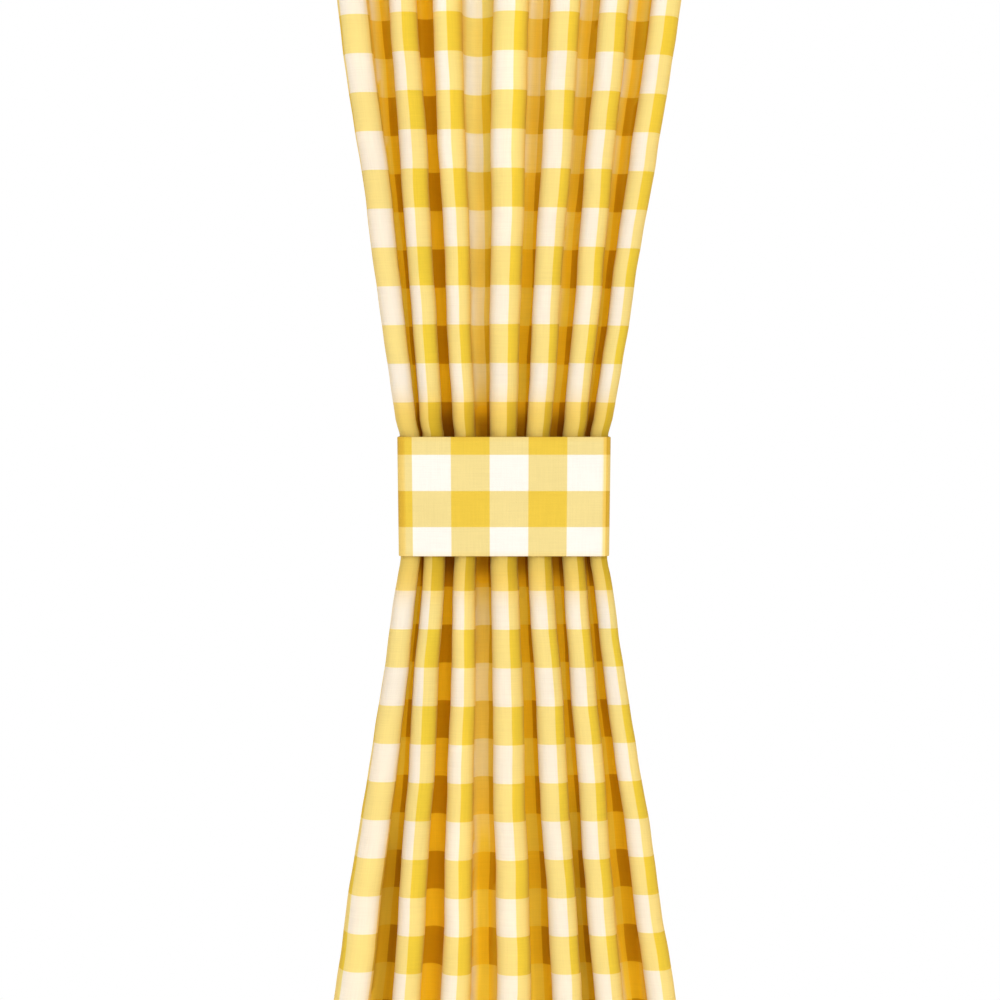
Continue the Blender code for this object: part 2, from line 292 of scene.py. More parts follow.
# the cloth's own coordinates in metres come from the map called cloth
def makeGingham(name, look, across, along, middleAcross, middleAlong):
    made = bpy.data.materials.new(name)
    made.use_nodes = True
    tree = made.node_tree
    shader = tree.nodes["Principled BSDF"]
    cloth = tree.nodes.new("ShaderNodeUVMap")
    cloth.uv_map = "cloth"
    cloth = cloth.outputs["UV"]
    checks = addGroup(tree, checkGroup, {
        "Cloth": cloth, "Check Across": across, "Check Along": along, "Middle Across": middleAcross,
        "Middle Along": middleAlong, "Blur": gingham["checkBlur"], "White": opaque(look["white"]),
        "Single": opaque(look["single"]), "Double": opaque(look["double"])})
    weave = addGroup(tree, weaveGroup, {"Cloth": cloth, "Yarn": gingham["yarn"], "Slub": gingham["slub"]})
    masks = {}
    for label in ("foldShade", "drawnIn"):
        node = tree.nodes.new("ShaderNodeAttribute")
        node.attribute_name = label
        masks[label] = node.outputs["Fac"]
    toned = tree.nodes.new("ShaderNodeVectorMath")
    toned.operation = "SCALE"
    tree.links.new(checks["Color"], toned.inputs[0])
    tree.links.new(weave["Tone"], toned.inputs["Scale"])
    # painted shade: the foldShade attribute multiplies the colour toward the painted shade colours, and
    # above 1 darker still by the tucked painted shade
    fullyDyed = addMath(tree, "MULTIPLY_ADD", checks["Dyed"], 2.0, -1.0, clamp=True)
    deep = addMix(tree, fullyDyed, opaque(gingham["paintedShadeOnWhite"]), opaque(gingham["paintedShadeOnDyed"]))
    shaded = addMath(tree, "MULTIPLY", masks["foldShade"], 1.0, clamp=True)
    colour = addMix(tree, shaded, toned.outputs[0], deep, "MULTIPLY")
    tucked = addMath(tree, "SUBTRACT", masks["foldShade"], 1.0, clamp=True)
    colour = addMix(tree, tucked, colour, opaque(gingham["tucked"]), "MULTIPLY")
    tree.links.new(colour, shader.inputs["Base Color"])
    rough = addMath(tree, "MULTIPLY_ADD", weave["Tone"], -gingham["roughTone"], gingham["roughBase"],
                    clamp=True)
    tree.links.new(rough, shader.inputs["Roughness"])
    shader.inputs["Specular IOR Level"].default_value = gingham["shine"]
    shader.inputs["Sheen Weight"].default_value = gingham["sheen"]
    shader.inputs["Sheen Roughness"].default_value = gingham["sheenRough"]
    creases = addGroup(tree, creaseGroup, {"Cloth": cloth, "Mask": masks["drawnIn"]})
    normal = None
    for height, depth in ((creases["Height"], "creaseDepth"), (weave["Height"], "weaveDepth")):
        bump = tree.nodes.new("ShaderNodeBump")
        bump.inputs["Strength"].default_value = 1.0
        bump.inputs["Distance"].default_value = gingham[depth]
        tree.links.new(height, bump.inputs["Height"])
        fill(tree, bump.inputs["Normal"], normal)
        normal = bump.outputs["Normal"]
    tree.links.new(normal, shader.inputs["Normal"])
    if look["sheer"] > 0.0:
        through = tree.nodes.new("ShaderNodeBsdfTranslucent")
        tree.links.new(colour, through.inputs["Color"])
        both = tree.nodes.new("ShaderNodeMixShader")
        both.inputs["Fac"].default_value = look["sheer"]
        tree.links.new(shader.outputs[0], both.inputs[1])
        tree.links.new(through.outputs[0], both.inputs[2])
        tree.links.new(both.outputs[0], tree.nodes["Material Output"].inputs["Surface"])
    return made


bandLook = {
    "white": (0.778, 0.738, 0.682),
    "single": (0.690, 0.558, 0.224),
    "double": (0.665, 0.455, 0.044),
    "sheer": 0.0,               # stiffened, so no light goes through
    "thickness": 0.0013,
    "edgeRound": 0.0008,
    "edgeThin": 0.35,           # share of the thickness left at the very edge
    "edgeSteps": 4,
    "corner": 0.0050,
    "cornerSteps": 6,
    "lap": 0.034,               # how far the band's two ends overlap at the back
    "lapLift": 0.0019,
    "lapRamp": 0.010,
    "lapStitches": (0.003, 0.006),    # the two stitch lines, from the lap's free end
    "aroundStep": 0.0022,
    "faceRows": 26,
    "taper": 0.0019,            # how much narrower the band is at its foot
    "waver": 0.00018,
    "waverLength": 0.045,
    "hemShade": 0.0022,         # painted shade up to here from its top and foot
    "hemShadeShare": 0.22,
    "sideShade": 0.0040,        # and painted shade up to here from its sides
    "sideFade": 0.0012,
    "sideShadeShare": 0.45,
    "creaseIn": 0.0039,         # a painted dark line along the crease of the right side, this far from that side
    "creaseWide": 0.0011,
    "creaseShadeShare": 0.42,
    "edgePucker": 0.25,
    "puckerReach": 0.012,
    "columnMiddle": -0.0221,    # the middle of a dyed column, from the band's middle
    "rowMiddle": -0.0081,       # and of a dyed row
}

panelCloth = makeGingham("ginghamCloth", gingham, gingham["checkAcross"], gingham["checkAlong"],
                         gingham["checkAcross"], 0.0)
bandCloth = makeGingham("ginghamBand", bandLook, gingham["checkAlong"], gingham["checkAcross"],
                        bandLook["columnMiddle"], bandLook["rowMiddle"])


threadLook = {
    "shadow": (0.62, 0.50, 0.26),
    "light": (0.86, 0.80, 0.62),
    "pliesPerMetre": 2600.0,
    "rough": 0.6,
    "sheen": 0.2,
}


def makeThread():
    look = threadLook
    made = bpy.data.materials.new("sewingThread")
    made.use_nodes = True
    tree = made.node_tree
    shader = tree.nodes["Principled BSDF"]
    place = tree.nodes.new("ShaderNodeTexCoord").outputs["Object"]
    plies = addNoise(tree, place, (look["pliesPerMetre"],) * 3, 1.0)
    share = addMath(tree, "ADD", plies, 0.5, clamp=True)
    colour = addMix(tree, share, opaque(look["shadow"]), opaque(look["light"]))
    tree.links.new(colour, shader.inputs["Base Color"])
    shader.inputs["Roughness"].default_value = look["rough"]
    shader.inputs["Sheen Weight"].default_value = look["sheen"]
    return made


threadMaterial = makeThread()
print("stage: materials made")


sharpFrom = radians(50)        # faces that meet at more than this stay sharp
tiny = 1e-9                    # keeps a division from meeting nought


def gridNormals(middle):
    normal = np.cross(np.gradient(middle, axis=1), np.gradient(middle, axis=0))
    return normal / np.maximum(np.linalg.norm(normal, axis=2, keepdims=True), tiny)


def linkMesh(name, points, faces, corners):
    mesh = bpy.data.meshes.new(name)
    mesh.vertices.add(len(points))
    mesh.vertices.foreach_set("co", np.ascontiguousarray(points, np.float32).ravel())
    mesh.loops.add(faces.size)
    mesh.loops.foreach_set("vertex_index", np.ascontiguousarray(faces, np.int32).ravel())
    mesh.polygons.add(len(faces))
    mesh.polygons.foreach_set("loop_start", np.arange(0, faces.size, corners, dtype=np.int32))
    mesh.update(calc_edges=True)
    mesh.polygons.foreach_set("use_smooth", np.ones(len(faces), bool))
    mesh.set_sharp_from_angle(angle=sharpFrom)
    piece = bpy.data.objects.new(name, mesh)
    bpy.context.scene.collection.objects.link(piece)
    return piece


# a closed sheet round a grid of points. Its columns run to the right and its rows upwards as
# seen from its outer side; outer and inner are how thick it is on each side of the grid
def clothSheet(name, middle, outer, inner, cloth, masks, material):
    rows, columns = middle.shape[:2]
    normal = gridNormals(middle)
    points = np.concatenate([(middle - normal * inner[..., None]).reshape(-1, 3),
                             (middle + normal * outer[..., None]).reshape(-1, 3)])
    grid = np.arange(rows * columns).reshape(rows, columns)
    quads = np.stack([grid[:-1, :-1], grid[:-1, 1:], grid[1:, 1:], grid[1:, :-1]], axis=-1).reshape(-1, 4)
    rim = np.concatenate([grid[0, :-1], grid[:-1, -1], grid[-1, :0:-1], grid[:0:-1, 0]])
    onward = np.roll(rim, -1)
    over = rows * columns
    edge = np.stack([rim, onward, onward + over, rim + over], axis=-1)
    faces = np.concatenate([quads[:, ::-1], quads + over, edge])
    piece = linkMesh(name, points, faces, 4)
    mesh = piece.data

    flat = cloth.reshape(-1, 2)
    layer = mesh.uv_layers.new(name="cloth")
    layer.data.foreach_set("uv", np.concatenate([flat, flat])[faces.ravel()].astype(np.float32).ravel())
    # a second map with the outer side in the left half, the inner side in the right half and
    # the rim as a thin frame round the outer side
    low, high = flat.min(axis=0), flat.max(axis=0)
    margin, halfMiddle = np.array((0.01, 0.01)), np.array((0.25, 0.5))
    left = (flat - low) / (high - low) * (2 * (halfMiddle - margin)) + margin
    spread = (left - halfMiddle) * (1.02, 1.01) + halfMiddle
    bake = np.concatenate([(left + (0.5, 0.0))[quads[:, ::-1]], left[quads],
                           np.stack([spread[rim], spread[onward], left[onward], left[rim]], axis=1)])
    layer = mesh.uv_layers.new(name="OFBake")
    layer.data.foreach_set("uv", bake.astype(np.float32).ravel())
    mesh.uv_layers.active = mesh.uv_layers["cloth"]
    for label, (innerMask, outerMask) in masks.items():
        held = mesh.attributes.new(label, "FLOAT", "POINT")
        both = np.concatenate([np.broadcast_to(m, (rows, columns)).ravel() for m in (innerMask, outerMask)])
        held.data.foreach_set("value", both.astype(np.float32))
    mesh.materials.append(material)
    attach(piece, bodyName)
    return piece


stitchLook = {
    "length": 0.0026,
    "gap": 0.0007,
    "radius": 0.00023,
    "sides": 5,
    "rise": 0.00016,          # how far a stitch stands out of the cloth
    "dip": 0.00022,           # and how deep its ends go in
    "shoulder": 0.3,          # share of a stitch in which it rises
    "firstAt": 0.1,           # share of a stitch's pitch before it starts
}


# a line of machine stitches along a path that lies on the cloth
def sewStitches(name, runs):
    look = stitchLook
    sides = look["sides"]
    shares = np.array([0.0, look["shoulder"], 1.0 - look["shoulder"], 1.0])
    lifts = np.array([-look["dip"], look["rise"], look["rise"], -look["dip"]])
    turns = 2 * pi * np.arange(sides) / sides
    allPoints = []
    for path, normals in runs:
        steps = np.linalg.norm(np.diff(path, axis=0), axis=1)
        run = np.concatenate([[0.0], np.cumsum(steps)])
        count = int(run[-1] / (look["length"] + look["gap"]))
        starts = (np.arange(count) + look["firstAt"]) * run[-1] / count
        places = starts[:, None] + shares * look["length"]
        centre = np.stack([np.interp(places, run, path[:, i]) for i in range(3)], axis=-1)
        up = np.stack([np.interp(places, run, normals[:, i]) for i in range(3)], axis=-1)
        up /= np.linalg.norm(up, axis=-1, keepdims=True)
        way = centre[:, -1:] - centre[:, :1]
        way = way / np.linalg.norm(way, axis=-1, keepdims=True)
        aside = np.cross(way, up)
        centre = centre + up * lifts[:, None]
        ring = (aside[:, :, None] * np.cos(turns)[:, None] + up[:, :, None] * np.sin(turns)[:, None])
        allPoints.append((centre[:, :, None] + ring * look["radius"]).reshape(-1, 3))
    points = np.concatenate(allPoints)
    each = len(shares) * sides
    local = np.arange(each).reshape(len(shares), sides)
    after = np.roll(local, -1, axis=1)
    walls = np.stack([local[:-1], after[:-1], after[1:], local[1:]], axis=-1).reshape(-1, 4)
    fan = [[0, i, i + 1] for i in range(1, sides - 1)]
    caps = np.array([local[0][f][::-1] for f in fan] + [local[-1][f] for f in fan])
    triangles = np.concatenate([walls[:, [0, 1, 2]], walls[:, [0, 2, 3]], caps])[:, ::-1]
    faces = (np.arange(0, len(points), each)[:, None, None] + triangles).reshape(-1, 3)
    piece = linkMesh(name, points, faces, 3)
    piece.data.materials.append(threadMaterial)
    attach(piece, bodyName)
    print("stage: " + name, len(points) // each, "stitches")
    return piece


panelLook = {
    "thickness": 0.0007,
    "hemWide": 0.0127,
    "hemThickness": 0.0020,
    "hemStitch": 0.0112,      # the hem's stitch line, from the edge
    "hemStep": 0.0002,        # half the width of the step where the hem ends
    "columnsPerSide": 14,
    "crownCrowding": 0.10,    # how much closer the columns stand round crowns and valleys
    "fineRow": 0.0046,        # row height near the tie
    "coarseRow": 0.0135,      # and near the rods
    "fineReach": 0.345,
    "levelFrom": 0.34,        # from here outwards the rows of checks grow level
    "gatherFade": 0.520,      # below a rod, where the small gathers have become seven pleats
    "squeezeTop": 0.975,      # share of its width that the panel keeps at the band's top
    "squeezeLow": 0.995,      # and at its foot
    "squeezeDeep": 0.87,      # and of its depth
    "squeezeTurn": 0.07,      # the height in which the first becomes the second
    "squeezeIn": 0.0385,      # from the tie: fully pressed up to here
    "squeezeOut": 0.0500,     # and free from here on
    "puff": 0.045,            # the pleats swell by this share just outside the band
    "puffAt": 0.060,
    "puffReach": 0.028,
    "tuckedCloth": 0.0013,    # cloth taken up in the bends at each edge of the band
    "waver": 0.0009,          # how far the folds wander from their straight lines
    "waverLength": 0.16,
    "tieCreases": 0.5,        # creases round the tie, against those at the stitch lines
    "tieCreaseReach": 0.09,
    "seamCreaseReach": 0.11,
}

# height above the tie (mm), squareness of the pleats, swell of the left and right outer pleat (mm)
levels = (
    {"above": -seamUp / mm, "square": 1.00, "left": 12.0, "right": 12.0},
    {"above": -320.0, "square": 1.02, "left": 14.0, "right": 9.4},
    {"above": -150.0, "square": 1.00, "left": 9.2, "right": 6.6},
    {"above": -80.0, "square": 0.78, "left": 7.2, "right": 5.5},
    {"above": -44.0, "square": 0.72, "left": 6.2, "right": 4.9},
    {"above": 44.0, "square": 0.72, "left": 6.5, "right": 5.6},
    {"above": 105.0, "square": 0.86, "left": 7.4, "right": 6.7},
    {"above": 160.0, "square": 0.92, "left": 8.2, "right": 7.7},
    {"above": 230.0, "square": 1.12, "left": 9.2, "right": 8.9},
    {"above": 320.0, "square": 0.95, "left": 10.5, "right": 10.5},
    {"above": seamUp / mm, "square": 1.00, "left": 12.0, "right": 12.0},
)

plainShade = (1.0, 1.0, 1.0)

# The pleats' crowns and valleys: place in the flat cloth (checks), how square the side to its
# right is, x at the lower height, below the tie, above it and at the upper height (mm), distance
# behind the even plane (mm), and how much painted shade it takes low, midway and high
foldColumns = ("fold", "checks", "square", "low", "tieLow", "tieTop", "up", "back", "shades")
folds = (
    ("crownA", 2.00, 0.66, -97.2, -61.6, -63.3, -98.1, 0.0, plainShade),
    ("valleyAB", 4.50, 0.95, -79.0, -55.3, -57.0, -82.0, 1.0, (1.6, 1.0, 1.0)),
    ("crownB", 6.55, 0.80, -63.6, -46.0, -47.6, -65.2, 0.0, plainShade),
    ("valleyBC", 8.80, 1.25, -49.3, -36.0, -37.3, -52.7, 0.5, plainShade),
    ("crownC", 10.48, 0.90, -31.6, -25.4, -26.1, -38.2, 0.0, plainShade),
    ("valleyCD", 12.36, 1.25, -12.9, -13.3, -14.6, -18.0, -1.5, (1.15, 0.62, 0.40)),
    ("crownD", 14.40, 1.75, 6.5, 0.0, -0.7, 4.6, 0.0, plainShade),
    ("valleyDE", 16.40, 1.10, 24.8, 12.1, 11.8, 23.8, 0.0, (1.25, 1.05, 0.80)),
    ("crownE", 18.37, 1.18, 41.3, 23.5, 22.5, 39.8, 0.0, plainShade),
    ("valleyEF", 20.45, 1.10, 54.5, 35.5, 35.1, 57.8, 0.5, (1.5, 1.0, 0.9)),
    ("crownF", 22.42, 0.78, 67.8, 46.0, 47.3, 71.4, 1.0, plainShade),
    ("valleyFG", 24.60, 1.05, 86.2, 57.5, 58.5, 90.5, 0.5, (1.2, 1.0, 0.95)),
    ("crownG", 26.46, 1.00, 102.4, 62.9, 64.2, 105.3, 2.0, plainShade),
)

foldsAt, tieEdge = 0.320, 0.044              # the heights of the folds' x, up and down from the tie
shadesAt = (-0.250, -0.190, 0.150, 0.260)    # low shades up to the first height, midway ones between
edgeLean = 1.64              # radians that the cloth turns through round an outer crown
mostLean = 2.6               # more than any pleat side leans
leanHalvings = 30            # steps in which a lean is searched for
fineSteps = 64               # steps in which the course of a pleat side is added up
fine = np.linspace(0.0, 1.0, fineSteps + 1)
gather = -np.sin(2 * pi * fine)    # direction along one small gather, which comes forward


def foldColumn(name):
    return np.array([row[foldColumns.index(name)] for row in folds], float)


def levelValue(name, above):
    return np.interp(above, [row["above"] * mm for row in levels], [row[name] for row in levels])


# 1 inside the band and 0 clear of it
def pressedShare(above):
    look = panelLook
    return 1.0 - smooth((abs(above) - look["squeezeIn"]) / (look["squeezeOut"] - look["squeezeIn"]))


# x of every crown and valley at a height above the tie
def foldLines(above):
    onRod = (foldColumn("checks") / gingham["checksWide"] - 0.5) * rodWidth
    crossings = [onRod]
    crossings += [foldColumn(name) * mm for name in ("low", "tieLow", "tieTop", "up")]
    crossings.append(onRod)
    heights = (-seamUp, -foldsAt, -tieEdge, tieEdge, foldsAt, seamUp)
    return np.array([np.interp(above, heights, line) for line in np.array(crossings).T])


# 1 at the rod pockets, where the cloth is in small gathers, and 0 where it is in pleats
def gatherShare(above):
    return 1.0 - smooth((seamUp - abs(above)) / panelLook["gatherFade"])


# where a strip of cloth gets to, from its direction at even steps along it
def course(angles, cloth):
    step = cloth / fineSteps
    along, back = np.cos(angles), np.sin(angles)
    x = np.concatenate([[0.0], np.cumsum((along[1:] + along[:-1]) / 2 * step)])
    y = np.concatenate([[0.0], np.cumsum((back[1:] + back[:-1]) / 2 * step)])
    return x, y


# how far a strip leans, on top of its base direction, for its width to be this share of its cloth
def leanFor(shape, ratio, base=0.0):
    low, high = 0.0, mostLean
    for _ in range(leanHalvings):
        lean = (low + high) / 2
        if course(base + lean * shape, 1.0)[0][-1] > ratio:
            low = lean
        else:
            high = lean
    return lean


turnReach = course(edgeLean * np.sin(pi / 2 * fine), 1.0)[0].max()


# the cloth from an outer crown round to its side hem, counted outwards
def edgeCourse(above, swell, cloth):
    share = gatherShare(above)
    turn = edgeLean * np.sin(pi / 2 * np.minimum(1.0, fine * cloth * turnReach / (swell * mm)))
    tucked = course(turn, cloth)[0][-1]
    reach = mix(tucked, cloth * gatherRatio, share)
    lean = leanFor(gather, reach / cloth, (1.0 - share) * turn)
    return course((1.0 - share) * turn + lean * gather, cloth)


# the cloth's middle line at one height: x and y at each station
def section(above, stations):
    look = panelLook
    share = gatherShare(above)
    pressed = pressedShare(above)
    squares = levelValue("square", above) * foldColumn("square")
    checks, lines = foldColumn("checks"), foldLines(above)
    waver = look["waver"] * (1.0 - share) * (1.0 - pressed)
    lines = lines + waver * wander(above, look["waverLength"], len(folds), 11)
    legs = []
    for i, cloth in enumerate(np.diff(checks) * gingham["checkAcross"]):
        side = 1.0 if i % 2 == 0 else -1.0      # back from a crown, then forward from a valley
        main = np.sin(pi * fine) / np.hypot(np.sin(pi * fine), squares[i] * np.cos(pi * fine))
        shape = (1.0 - share) * side * main + share * gather
        legs.append(course(leanFor(shape, (lines[i + 1] - lines[i]) / cloth) * shape, cloth))
    left = edgeCourse(above, levelValue("left", above), checks[0] * gingham["checkAcross"])
    right = edgeCourse(above, levelValue("right", above), flatWide - checks[-1] * gingham["checkAcross"])

    planes = (1.0 - share) * foldColumn("back") * mm
    planes[1::2] += np.mean([abs(y[-1]) for _, y in legs])
    planes += waver * wander(above, look["waverLength"], len(folds), 12)
    ease = (1.0 - np.cos(pi * fine)) / 2
    pieces = [((lines[0] - left[0])[::-1], (planes[0] + left[1])[::-1])]
    for i, (x, y) in enumerate(legs):
        pieces.append((lines[i] + x, planes[i] + y + (planes[i + 1] - planes[i] - y[-1]) * ease))
    pieces.append((lines[-1] + right[0], planes[-1] + right[1]))
    middle = np.mean(np.concatenate([y for _, y in pieces]))

    puffed = look["puff"] * smooth(1.0 - abs(abs(above) - look["puffAt"]) / look["puffReach"])
    puffed *= 1.0 - pressed
    x = np.concatenate([np.interp(stations[i], fine, piece[0]) for i, piece in enumerate(pieces)])
    y = np.concatenate([np.interp(stations[i], fine, piece[1]) for i, piece in enumerate(pieces)])
    squeeze = mix(look["squeezeLow"], look["squeezeTop"], smooth(above / look["squeezeTurn"] + 0.5))
    wide = mix(1.0, squeeze, pressed)
    deep = mix(1.0, look["squeezeDeep"], pressed) + puffed
    return x * wide, (y - middle) * deep


# places along each pleat side, closer together round its crown and its valley, with
# a close pair of places where each side hem ends
def stationsFor(perSide):
    look = panelLook
    even = np.linspace(0.0, 1.0, perSide + 1)
    eased = even - look["crownCrowding"] * np.sin(2 * pi * even)
    sides = [eased[:-1] for _ in range(len(folds) + 1)]
    hem = np.array([-look["hemStep"], look["hemStep"]]) + look["hemWide"]
    leftCloth = foldColumn("checks")[0] * gingham["checkAcross"]
    rightCloth = flatWide - foldColumn("checks")[-1] * gingham["checkAcross"]
    sides[0] = np.sort(np.concatenate([sides[0], hem / leftCloth]))
    sides[-1] = np.sort(np.concatenate([eased, 1.0 - hem / rightCloth]))
    return sides


# how far each station is from the cloth's left edge
def clothAcross(stations):
    ends = np.concatenate([[0.0], foldColumn("checks"), [gingham["checksWide"]]]) * gingham["checkAcross"]
    return np.concatenate([mix(ends[i], ends[i + 1], s) for i, s in enumerate(stations)])


# heights of the panel's rows, from its foot up
def rowHeights():
    look = panelLook
    near = np.arange(0.0, look["fineReach"], look["fineRow"])
    count = int((seamUp - look["fineReach"]) / look["coarseRow"])
    half = np.concatenate([near, np.linspace(look["fineReach"], seamUp, count)])
    return np.concatenate([-half[:0:-1], half])


# distance along each thread from the tie, eased so that the rows are level again at the rods
def clothAlong(points, heights):
    look = panelLook
    steps = np.linalg.norm(np.diff(points, axis=0), axis=2)
    run = np.concatenate([np.zeros((1, points.shape[1])), np.cumsum(steps, axis=0)])
    run -= run[np.argmin(np.abs(heights))]
    level = heights[:, None] * np.median(np.abs(run[0])) / seamUp
    ease = smooth((np.abs(heights) - look["levelFrom"]) / (seamUp - look["levelFrom"]))[:, None]
    tucked = look["tuckedCloth"] * np.sign(heights) * smooth(np.abs(heights) / look["squeezeOut"])
    return mix(run, level, ease) + tucked[:, None]


# the share of the light from in front that reaches each point of a row, from 0 to 1
def lightReach(x, y):
    apart = x[None, :] - x[:, None]
    nearer = np.maximum(y[:, None] - y[None, :], 0.0)
    clear = np.abs(apart) / np.maximum(np.hypot(apart, nearer), tiny)
    left = np.where(apart < 0, clear, 1.0).min(axis=1)
    right = np.where(apart > 0, clear, 1.0).min(axis=1)
    return np.maximum(left, right)


shadeLook = {
    "deepBelow": 0.76,        # light reach under which the cloth takes on painted shade, low down
    "deepAbove": 0.62,        # and from the tie up
    "deepChange": 0.24,       # the height in which the first becomes the second
    "deepRamp": 0.42,
    "evenReach": 0.085,       # nearer the tie than this every valley takes as much painted shade as the next
    "evenRamp": 0.035,
    "turnedFrom": 0.72,       # cloth that turns from the front by more than this takes painted shade too
    "turnedRamp": 0.60,
    "turnedBack": 0.50,       # where it runs back to the right
    "turnedForward": 0.22,    # and where it comes forward
    "turnedOutside": 0.20,    # at most this outside the outer crowns, in the open
    "tuckReach": 0.060,       # painted shade twice as strong up to here from the tie
    "tuckRamp": 0.014,
    "tieReach": 0.078,        # and painted shade on even the crowns a little, up to here
    "tieRamp": 0.030,
    "tieShade": 0.50,
}


# how much painted shade each point of a row takes: 1 is the full painted shade of the folds, and more is
# darker painted shade still
def foldShade(x, y, across, above):
    look = shadeLook
    places = foldColumn("checks") * gingham["checkAcross"]
    low, middle, high = foldColumn("shades").T
    shades = np.array([np.interp(above, shadesAt, line) for line in zip(low, middle, middle, high)])
    shades = mix(shades, 1.0, smooth((look["evenReach"] - abs(above)) / look["evenRamp"]))
    deepFrom = mix(look["deepBelow"], look["deepAbove"], smooth(above / look["deepChange"] + 1.0))
    share = smooth((deepFrom - lightReach(x, y)) / look["deepRamp"]) * np.interp(across, places, shades)
    # painted shade on cloth that turns away from the front, stronger where it runs back
    runX, runY = np.gradient(x), np.gradient(y)
    turned = smooth((look["turnedFrom"] - np.abs(runX) / np.hypot(runX, runY)) / look["turnedRamp"])
    turned *= np.where(runX * runY > 0.0, look["turnedBack"], look["turnedForward"])
    outside = (across < places[0]) | (across > places[-1])
    share = np.maximum(share, np.where(outside, np.minimum(turned, look["turnedOutside"]), turned))
    share *= 1.0 + smooth((look["tuckReach"] - abs(above)) / look["tuckRamp"])
    return np.maximum(share, look["tieShade"] * smooth((look["tieReach"] - abs(above)) / look["tieRamp"]))


# how thick the cloth is behind its middle: two plies more where a side hem is turned
def hemThickness(across, shape):
    hem = np.minimum(across, flatWide - across) < panelLook["hemWide"]
    thin = panelLook["thickness"] / 2
    return np.broadcast_to(np.where(hem, panelLook["hemThickness"] - thin, thin), shape)


def makePanel():
    look = panelLook
    stations = stationsFor(look["columnsPerSide"])
    heights = rowHeights()
    across = clothAcross(stations)
    slices = [section(above, stations) for above in heights]
    middle = np.array([np.stack([x, y, np.full_like(x, tieZ + above)], axis=1)
                       for above, (x, y) in zip(heights, slices)])
    along = clothAlong(middle, heights)
    cloth = np.stack([np.broadcast_to(across, along.shape), along], axis=2)
    # painted shade for each side of the cloth
    shade = [np.array([foldShade(x, side * y, across, above) for above, (x, y) in zip(heights, slices)])
             for side in (-1.0, 1.0)]
    nearTie = smooth(1.0 - (np.abs(heights) - look["squeezeIn"]) / look["tieCreaseReach"])
    nearSeam = smooth(1.0 - (seamUp - np.abs(heights)) / look["seamCreaseReach"])
    drawn = (look["tieCreases"] * nearTie + nearSeam)[:, None]
    outer = np.full(along.shape, look["thickness"] / 2)
    panel = clothSheet("curtainPanel", middle, outer, hemThickness(across, along.shape), cloth,
                       {"foldShade": shade, "drawnIn": (drawn, drawn)}, panelCloth)
    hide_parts("curtain_panel")
    print("stage: panel of", len(panel.data.polygons), "faces")

    normals = gridNormals(middle)
    runs = []
    for place in (look["hemStitch"], flatWide - look["hemStitch"]):
        right = np.searchsorted(across, place)
        share = (place - across[right - 1]) / (across[right] - across[right - 1])
        line = mix(middle[:, right - 1], middle[:, right], share)
        normal = mix(normals[:, right - 1], normals[:, right], share)
        runs.append((line + normal * look["thickness"] / 2, normal))
        runs.append((line - normal * (look["hemThickness"] - look["thickness"] / 2), -normal))
    sewStitches("sideHemStitches", runs)
    return along[0].mean(), along[-1].mean()


lowSeam, topSeam = makePanel()    # how far along the cloth the two pocket seams lie


pocketLook = {
    "columnsPerSide": 30,
    "pocket": 0.030,          # from the seam to the second stitch line
    "header": 0.025,
    "openHalf": 0.0092,       # half of what the open pocket is deep, to the middle of its cloth
    "plyHalf": 0.00062,       # half the distance between the two plies
    "fullness": 0.35,         # share of the gathers' depth left where the walls pass the rod
    "flare": 0.18,            # by how much the header's waves grow to its free edge
    "seamUnder": 0.0012,      # how far the pocket's cloth runs on past the seam
    "endSteps": 3,            # rows round the header's free edge
    "ruffle": 0.0016,         # how far that edge wanders
    "ruffleLengths": (0.13, 0.09),
    "stitchRise": 0.0008,     # the first stitch line, from the seam
    "pucker": 0.00055,
    "puckerPitch": 0.011,
    "puckerReach": 0.007,
    "shaded": 0.6,            # how much painted shade the gathers' hollows take, against the pleats' ones
    "wallRows": 15,
    "headerRows": 11,
}


